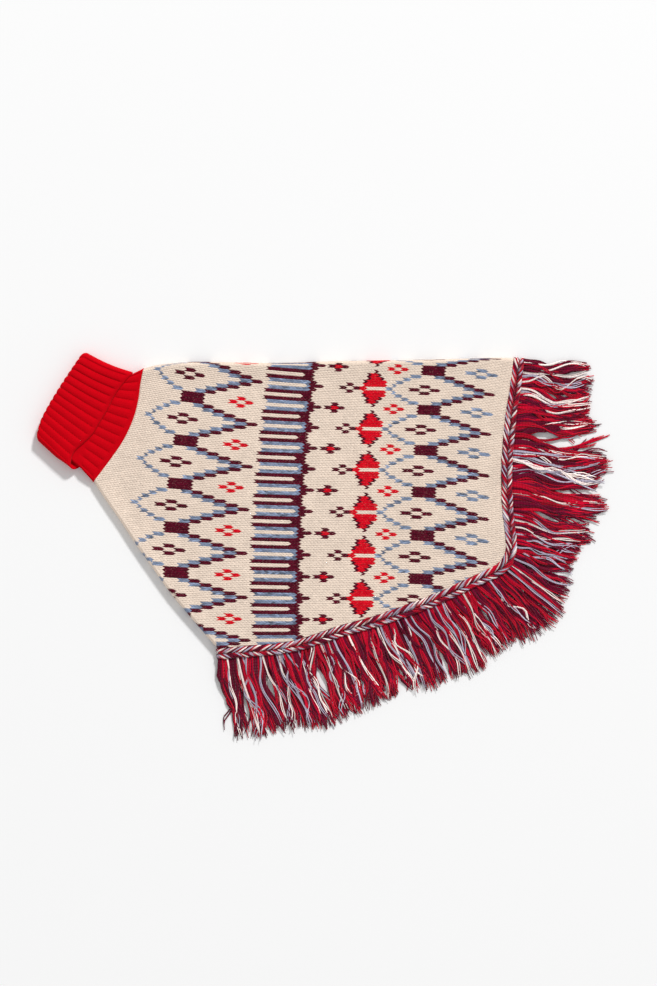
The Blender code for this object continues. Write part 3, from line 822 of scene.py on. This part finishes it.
loose = {  # chances and heights of the strands
    "yarnLengths": (0.86, 1.0),
    "strandLengths": (0.95, 1.03),
    "wispLengths": (0.93, 1.03),
    "wispSpread": 0.25,  # of wisps' middles, in wisps
    "wispStray": 0.3,  # of strands from wisp to wisp
    "wispSweeps": (0.3, 1.7),
    "sweeps": (0.8, 1.2),
    "gathers": (0.6, 1.4),
    "gathered": 0.85,  # where along a strand it has joined its wisp
    "wispTurns": (0.5, 1.2),
    "yarnTurns": (1.0, 2.4),
    "ownTurns": (1.2, 3.0),
    "waveFrom": 0.4,  # where along a strand its waves are whole
    "paleLevels": (0.5, 1.0),
    "darkLevels": (0, 0.9),
    "tipZ": 1.1,
    "heap": 2.6,  # how much higher the tips of upper strands may lie
    "heapFrom": 3,  # height of a root from which its tip may
    "hop": 0.5,
    "hopTurns": 1.7,
    "hopStarts": 9,
    "floor": 1.05,
    "mixes": (0.75, 1.25),  # of yarns, from wisp to wisp
    "sizes": (0.85, 1.15),
    "flat": 0.9,
    "shade": 0.2,
    "shades": (0.6, 1.5),
}
yarns = {  # as a screen shows them
    "red": (186, 8, 42),
    "burgundy": (108, 8, 42),
    "grey": (182, 174, 192),
    "cream": (246, 230, 224),
}
yarnPalette = np.array([fromScreen(*colour) for colour in yarns.values()])


def tubes(paths, radii, flat=1.0):
    # Closed four-sided tubes along many paths at once. paths: tube, station, xyz; radii: tube, station.
    # Returns points, faces, cells of the bake map, and a map of the run along and the turn round each tube.
    count, stations = paths.shape[:2]
    along = unit(np.gradient(paths, axis=1))
    side = unit(np.cross(along, [0, 0, 1.0]))
    over = np.cross(side, along) * flat
    turn = np.arange(4) / 4 * 2 * math.pi
    ring = side[:, :, None] * np.cos(turn)[:, None] + over[:, :, None] * np.sin(turn)[:, None]
    points = paths[:, :, None] + ring * radii[..., None, None]
    size = stations * 4
    ends = [[(0, 1, 2, 3)], [(size - 1, size - 2, size - 3, size - 4)]]
    faces = np.concatenate([gridFaces(stations, 4, False, True), *ends])
    i, j = np.arange(stations - 1)[:, None] + 0.5, np.arange(4)[None] + 0.5
    corners = np.array([(-0.5, -0.5), (0.5, -0.5), (0.5, 0.5), (-0.5, 0.5)])
    middles = np.stack(np.broadcast_arrays(i, j), -1)[:, :, None]
    flatMap = (middles + corners).reshape(-1, 4, 2) / (stations - 1, 4)
    patch = np.array([[(0.0, 0.0), (0.02, 0.0), (0.02, 0.02), (0.0, 0.02)]])
    wholeMap = np.concatenate([flatMap, patch + (0.2, 1.03), patch + (0.6, 1.03)])
    run = np.linalg.norm(np.diff(paths, axis=1), axis=-1).sum(1)
    twist = np.tile(wholeMap[None], (count, 1, 1, 1)) * np.stack([run, np.ones(count)], -1)[:, None, None]
    cells = bakeCells(wholeMap * 0.9 + 0.03, count)
    return points.reshape(-1, 3), repeated(faces, count, size), cells, twist.reshape(-1, 2)


hemRun = arcLengths(hemLine)
hemLength = hemRun[-1]
hemAlong = np.stack([hemOut[:, 1], -hemOut[:, 0]], -1)
trimStraight, trimTurn = hemLength - 2 * trim["half"], math.pi * trim["half"]


def roundHem(run, across, height):
    # A point of the trim: run is measured round its whole flattened tube, from the spine along the upper
    # face, across is outwards from the hem, height is above the tube's face.
    half = trim["half"]
    run = run % (2 * (trimStraight + trimTurn))
    stops = np.cumsum([trimStraight, trimTurn, trimStraight, trimTurn])
    angle = np.interp(run, [0, *stops], np.radians([90, 90, -90, -90, -270]))
    lowerRun = np.where(run > stops[1], stops[2] - run, run)
    at = half + np.clip(lowerRun, 0, trimStraight) + half * np.cos(angle)
    plan = [np.interp(at, hemRun, line) for line in (*hemLine.T, *hemOut.T, *hemAlong.T)]
    x = plan[0] + plan[2] * across + plan[4] * np.cos(angle) * height
    y = plan[1] + plan[3] * across + plan[5] * np.cos(angle) * height
    return np.stack([x, y, half + (half + height) * np.sin(angle)], axis=-1)


def trimBand():
    # the backing of the braid: a band round the whole hem, its rows out over the face, down the outer edge,
    # back inside and down the inner edge
    around = np.linspace(0, 2 * (trimStraight + trimTurn), trim["around"], endpoint=False)
    near, far, deep = trim["gap"], trim["gap"] + trim["width"], trim["wall"]
    section = [(near + off, height) for off, height in trim["bandRows"]]
    section += [(far - off, height) for off, height in trim["bandRows"][::-1]]
    section += [(far, -deep), (near, -deep)]
    points = np.stack([roundHem(around, across, height) for across, height in section])
    return points.reshape(-1, 3), gridFaces(len(section), len(around), True, True)[:, ::-1]


def picked(shares, count):
    # a yarn for each of count strokes or strands; shares one row for all, or one for each
    ladder = np.cumsum(np.broadcast_to(shares, (count, len(yarns))), axis=1)
    ladder = ladder / ladder[:, -1:]
    return (chance.uniform(0, 1, (count, 1)) > ladder).sum(1).clip(0, len(yarns) - 1)


def braid():
    # Chevrons that point along the hem from the spine to the chest. Each stroke runs from an outer edge to
    # the middle; four yarns take turns, with many strokes astray, and most change yarn on the way.
    whole = 2 * (trimStraight + trimTurn)
    turns = len(trim["turn"])
    count = int(whole / trim["pitch"] / turns) * turns
    start = np.arange(count) * whole / count
    across, along, height, thick = np.array(trim["arm"]).T
    paths, colours = [], []
    for side, (longer, wider) in zip((-1, 1), trim["stretch"]):
        stray = chance.normal(0, 1, (2, count, 1)) * np.reshape(trim["strokeStray"], (2, 1, 1))
        run = start[:, None] + along * longer + stray[0] + side * trim["pitch"] / 4
        paths.append(roundHem(run, trim["middle"] + side * across * wider + stray[1], height + 0 * stray[0]))
        kind = np.tile(trim["turn"], count // turns)
        ends = []
        for *shares, often in (trim["astrayYarns"], trim["middleYarns"]):
            kind = np.where(chance.uniform(0, 1, count) < often, picked(shares, count), kind)
            ends.append(yarnPalette[kind][:, None])
        share = bump(along, *trim["yarnChange"])[None, :, None]
        colours.append(ends[0] * (1 - share) + ends[1] * share)
    paths, colour = np.concatenate(paths), np.concatenate(colours)
    paths[..., 2] = np.maximum(paths[..., 2], trim["stroke"])
    radii = trim["stroke"] * thick * chance.uniform(*trim["strokeSizes"], (len(paths), 1))
    points, faces, cells, twist = tubes(paths, radii, trim["strokeFlat"])
    colour = colour * (1 + trim["strokeShade"] * chance.normal(0, 1, (len(paths), 1, 1)))
    return points, faces, np.repeat(colour.reshape(-1, 3), 4, axis=0), cells, twist


wisps = int(hemLength / trim["wisp"])
wispCentre = (np.arange(wisps) + 0.5 + chance.normal(0, loose["wispSpread"], wisps)) / wisps
wispReach = chance.uniform(*loose["wispLengths"], wisps)
wispLean, wispBend = (chance.normal(0, trim[k][0], wisps) for k in ("lean", "bend"))


def swings(sizes, slowest, fastest):  # size, turns and phase of a wave for each wisp or strand
    count = len(sizes)
    sizes = sizes * chance.normal(0, 1, count)
    return sizes, chance.uniform(slowest, fastest, count), chance.uniform(0, 1, count)


wispSweep = chance.uniform(*loose["wispSweeps"], wisps)
wispSwing = swings(np.full(wisps, trim["sway"]), *loose["wispTurns"])


def yarnwise(values):  # the first strand's value for all the strands of a yarn
    return np.repeat(values[:: trim["ply"]], trim["ply"])


def strandPaths(share, mine, pale, lowest, highest):
    # Strands from roots at shares of the hem to their tips. In wisps they lean together, bend and sway as
    # one; each yarn has its own small wave, pale ones a wider one on top of the rest, and a few stray. The
    # strands of a yarn lie side by side and spread towards the tips.
    count, ply = len(share), trim["ply"]
    t = np.linspace(0, 1, trim["stations"])[None]
    table = np.array(trim["strands"], float)
    knots = np.array([np.argmin(((hemLine - k) ** 2).sum(-1)) for k in outline["hem"]]) / (len(hemLine) - 1)
    length, bearing, sweep = (np.interp(share, knots, table[:, c]) for c in range(3))
    length = length * yarnwise(chance.uniform(*loose["yarnLengths"], count))
    length = length * chance.uniform(*loose["strandLengths"], count) * wispReach[mine]
    stray = yarnwise(np.where(chance.uniform(0, 1, count) < trim["astray"], trim["strayed"], 1))
    lean, bend = (
        wisp[mine] + yarnwise(chance.normal(0, trim[k][1], count)) * stray
        for k, wisp in (("lean", wispLean), ("bend", wispBend))
    )
    angle = np.radians(bearing)
    ahead = np.stack([np.cos(angle), np.sin(angle)], -1)
    aside = np.stack([-ahead[:, 1], ahead[:, 0]], -1)
    gather = trim["gather"] * yarnwise(chance.uniform(*loose["gathers"], count))
    pull = (share - wispCentre[mine]) * hemLength * gather
    drift = pull[:, None] * bump(t, 0, loose["gathered"]) + bend[:, None] * t**2
    drift = drift + (length * np.tan(np.radians(lean)))[:, None] * t
    sweep = sweep * wispSweep[mine] * yarnwise(chance.uniform(*loose["sweeps"], count))
    drift = drift + sweep[:, None] * bump(t, *trim["sweepPart"])
    waves = trim["wave"] * np.where(pale, trim["paleWave"], 1)
    yarnSwing = [yarnwise(part) for part in swings(waves, *loose["yarnTurns"])]
    ownSwing = swings(np.full(count, trim["ownWave"]), *loose["ownTurns"])
    for size, turns, phase in ([part[mine] for part in wispSwing], yarnSwing, ownSwing):
        wave = np.sin(2 * math.pi * (turns[:, None] * t + phase[:, None]))
        drift = drift + size[:, None] * bump(t, 0, loose["waveFrom"]) * wave
    beside = np.tile(np.arange(ply) - (ply - 1) / 2, count // ply)
    drift = drift + beside[:, None] * (trim["beside"][0] * (1 - t) + trim["beside"][1] * t)
    at = share * hemLength
    room = trim["endRoom"]
    drift = np.clip(drift, -room - (hemLength - at)[:, None], room + at[:, None])
    line = hemLine + hemOut * trim["rootLine"]
    root = np.stack([np.interp(at, hemRun, line[:, k]) for k in (0, 1)], -1)
    reach = length * np.sqrt(np.maximum(1 - (drift[:, -1] / length) ** 2, 0.5))
    plan = root[:, None] + ahead[:, None] * (reach[:, None] * t)[..., None]
    plan = plan + aside[:, None] * drift[..., None]
    levels = chance.uniform(*loose["paleLevels"], count), chance.uniform(*loose["darkLevels"], count)
    level = yarnwise(np.where(pale, *levels))[:, None]
    rootZ = lowest + (highest - lowest) * level
    heaped = np.where(pale, 1.0, chance.uniform(0, 1, count))[:, None] * (rootZ > loose["heapFrom"])
    tipZ = loose["tipZ"] + loose["heap"] * heaped
    hop = np.sin(2 * math.pi * (loose["hopTurns"] * t + loose["hopStarts"] * level)) * bump(t, 0, 0.3)
    z = rootZ + (tipZ - rootZ) * bump(t, 0.05, 1.0) + loose["hop"] * hop
    return np.concatenate([plan, np.maximum(z, loose["floor"])[..., None]], axis=-1)


def fringeStrands(count, lowest, highest, shares):
    # strands, some side by side in one yarn, each with the wisp that it grows in
    share = yarnwise((np.arange(count) + chance.uniform(0, trim["ply"], count)) / count)
    mine = np.rint(share * wisps - 0.5 + yarnwise(chance.normal(0, loose["wispStray"], count)))
    mine = mine.astype(int).clip(0, wisps - 1)
    mixed = np.array(shares) * chance.uniform(*loose["mixes"], (wisps, len(yarns)))
    kind = yarnwise(picked(mixed[mine], count))
    paths = strandPaths(share, mine, kind > 1, lowest, highest)
    t = np.linspace(0, 1, trim["stations"])
    thick = trim["radius"] * np.where(kind > 1, trim["palePart"], 1) * chance.uniform(*loose["sizes"], count)
    pointed = 1 - 0.5 * bump(t, 0.8, 1.0)
    points, faces, cells, twist = tubes(paths, thick[:, None] * pointed, loose["flat"])
    uneven = 1 + loose["shade"] * chance.normal(0, 1, (count, 1))
    colour = yarnPalette[kind] * uneven.clip(*loose["shades"])
    lighter = 1 + trim["tipLight"] * bump(t, 0.6, 1.0)
    # painted shade on a strand's sides and underside, a painted highlight on its top, and lighter tips
    shade = (np.array(trim["paintedStrandShade"]) * lighter[:, None]).reshape(-1, 1)
    return points, faces, (colour[:, None] * shade).reshape(-1, 3), cells, twist


woolLook = {  # scales are how many spots of noise lie on a metre
    "mottle": (620.0, 0.34),  # scale and strength
    "broad": (60.0, 0.18),
    "ground": 0.74,
    "fleck": (700.0, 0.58, 0.72),  # scale, and the noise at which flecks begin and are whole
    "fleckColour": (0.66, 0.42, 0.34, 1),
    "fibre": 1500.0,
    "depth": 0.35,
    "distance": 0.0004,
    "ply": (0.95, 0.1),  # lightness of a strand's plies, and how far it swings: the plies' own colour change, with painted shade in the grooves between them
}


def wool(name, colour=None, fuzz=0.02, twist=None, flecks=0.0):
    # Wool yarn: its colour by stitch or strand, mottled by noise a fibre or two across, with warm flecks,
    # and a fibre bump; twist, in millimetres, adds the slanting plies of a loose strand.
    finish = Finish(name, Roughness=0.9, Sheen_Weight=fuzz, Sheen_Roughness=0.45, Specular_IOR_Level=0.05)
    place = finish.part(finish.node("ShaderNodeTexCoord", {}), "Object")
    if colour is None:
        yarn = finish.part(finish.node("ShaderNodeAttribute", {"attribute_name": "yarn"}), "Color")
    else:
        yarn = finish.node("ShaderNodeRGB", {})
        yarn.socket.default_value = (*colour, 1)
    shade = woolLook["ground"]
    for scale, strength in (woolLook["mottle"], woolLook["broad"]):
        noise = finish.node("ShaderNodeTexNoise", {}, Vector=place, Scale=scale, Detail=2.0)
        shade = shade + noise * strength
    surface = finish.shaded(yarn, shade)
    if flecks:
        scale, *ends = woolLook["fleck"]
        fleck = finish.node("ShaderNodeTexNoise", {}, Vector=place, Scale=scale, Detail=1.0).clipped(*ends)
        surface = finish.blend(fleck * flecks, surface, woolLook["fleckColour"])
    fibre = finish.node("ShaderNodeTexNoise", {}, Vector=place, Scale=woolLook["fibre"], Detail=3.0)
    relief = fibre
    if twist:
        wrap = finish.node("ShaderNodeUVMap", {"uv_map": "strand"})
        apart = finish.node("ShaderNodeSeparateXYZ", {}, wrap)
        slant = finish.part(apart, "X") * (2 * math.pi / twist) + finish.part(apart, "Y") * (4 * math.pi)
        relief = fibre * 0.5 + slant.sine() * 0.5
        # painted shade along the twist, darker in the grooves between plies where the relief is low,
        # together with the plies' own colour change
        surface = finish.shaded(surface, woolLook["ply"][0] + slant.sine() * woolLook["ply"][1])
    bumps = {"Strength": woolLook["depth"], "Distance": woolLook["distance"]}
    normal = finish.node("ShaderNodeBump", {}, Height=relief, **bumps)
    return finish.give(Base_Color=surface, Normal=normal)


patternWool = wool("patternWool", fuzz=0.12, flecks=0.12)
redWool = wool("redWool", fromScreen(*collar["colour"]))
fringeWool = wool("fringeWool", fuzz=0.14, twist=3.0)
print("finishes made")

points, faces, colour = bodyShell()
shell = meshFrom("bodyShell", points, faces, patternWool, colour)
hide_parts("body")
knits = [meshFrom(name, p, f, patternWool, c, {"OFBake": cells}) for name, p, f, c, cells in knitted()]
for piece in knits:
    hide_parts("body")
print("body panel knitted")

loops, ends = collarShell()
collarPiece = meshFrom("collarShell", loops.reshape(-1, 3), gridFaces(*loops.shape[:2], True, True), redWool)
collarKnits = []
for name, first, last in (("flapKnit", ends[0], ends[1]), ("standKnit", ends[2], ends[3])):
    points, faces, cells = collarStitches(loops, first, last)
    collarKnits.append(meshFrom(name, points, faces, redWool, maps={"OFBake": cells}))
for piece in (collarPiece, *collarKnits):
    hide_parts("collar")
print("collar knitted")

points, faces = trimBand()
band = meshFrom("trimBand", points, faces, wool("bandWool", fromScreen(*trim["bandColour"])))
points, faces, colour, cells, twist = braid()
braidPiece = meshFrom("braid", points, faces, fringeWool, colour, {"OFBake": cells, "strand": twist})
fringePieces = []
for name, layer in trim["layers"].items():
    points, faces, colour, cells, twist = fringeStrands(*layer)
    maps = {"OFBake": cells, "strand": twist}
    fringePieces.append(meshFrom(name, points, faces, fringeWool, colour, maps))
trimPieces = [band, braidPiece, *fringePieces]
for piece in trimPieces:
    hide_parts("fringe_trim")
print("trim braided and fringe combed")

studio = {
    "camera": (0.003, 0.054, 6.0),
    "filmHeight": 24.0,
    "frameHeight": 0.986,  # metres of floor that the picture is high
    "world": 0.55,
    "key": 2480.0,
    "keyPlace": (5.8, 13.0, 11.0),
    "keySize": 2.2,
    "floor": (0.93, 0.93, 0.93, 1),
    "floorHalf": 9,
}


def floorAndLight():
    scene = bpy.context.scene
    mesh = bpy.data.meshes.new("floor")
    far = studio["floorHalf"]
    mesh.from_pydata([(-far, -far, 0), (far, -far, 0), (far, far, 0), (-far, far, 0)], [], [(0, 1, 2, 3)])
    paper = Finish("paper", Roughness=0.9, Specular_IOR_Level=0.1, Base_Color=studio["floor"])
    mesh.materials.append(paper.material)
    floor = bpy.data.objects.new("floor", mesh)
    scene.collection.objects.link(floor)

    lamp = bpy.data.lights.new("key", "AREA")
    lamp.energy, lamp.size = studio["key"], studio["keySize"]
    key = bpy.data.objects.new("key", lamp)
    key.location = studio["keyPlace"]
    key.rotation_euler = mathutils.Vector(studio["keyPlace"]).to_track_quat("Z", "Y").to_euler()
    scene.collection.objects.link(key)

    world = bpy.data.worlds.new("studio")
    world.use_nodes = True
    world.node_tree.nodes["Background"].inputs["Color"].default_value = (1, 1, 1, 1)
    world.node_tree.nodes["Background"].inputs["Strength"].default_value = studio["world"]
    scene.world = world
    scene.view_settings.view_transform = "Standard"


def camera():
    lens = bpy.data.cameras.new("camera")
    lens.sensor_fit, lens.sensor_height = "VERTICAL", studio["filmHeight"]
    lens.lens = studio["filmHeight"] * studio["camera"][2] / studio["frameHeight"]
    lens.clip_end = 50
    view = bpy.data.objects.new("camera", lens)
    view.location = studio["camera"]
    bpy.context.scene.collection.objects.link(view)
    bpy.context.scene.camera = view


floorAndLight()
camera()
print("floor, light and camera set")
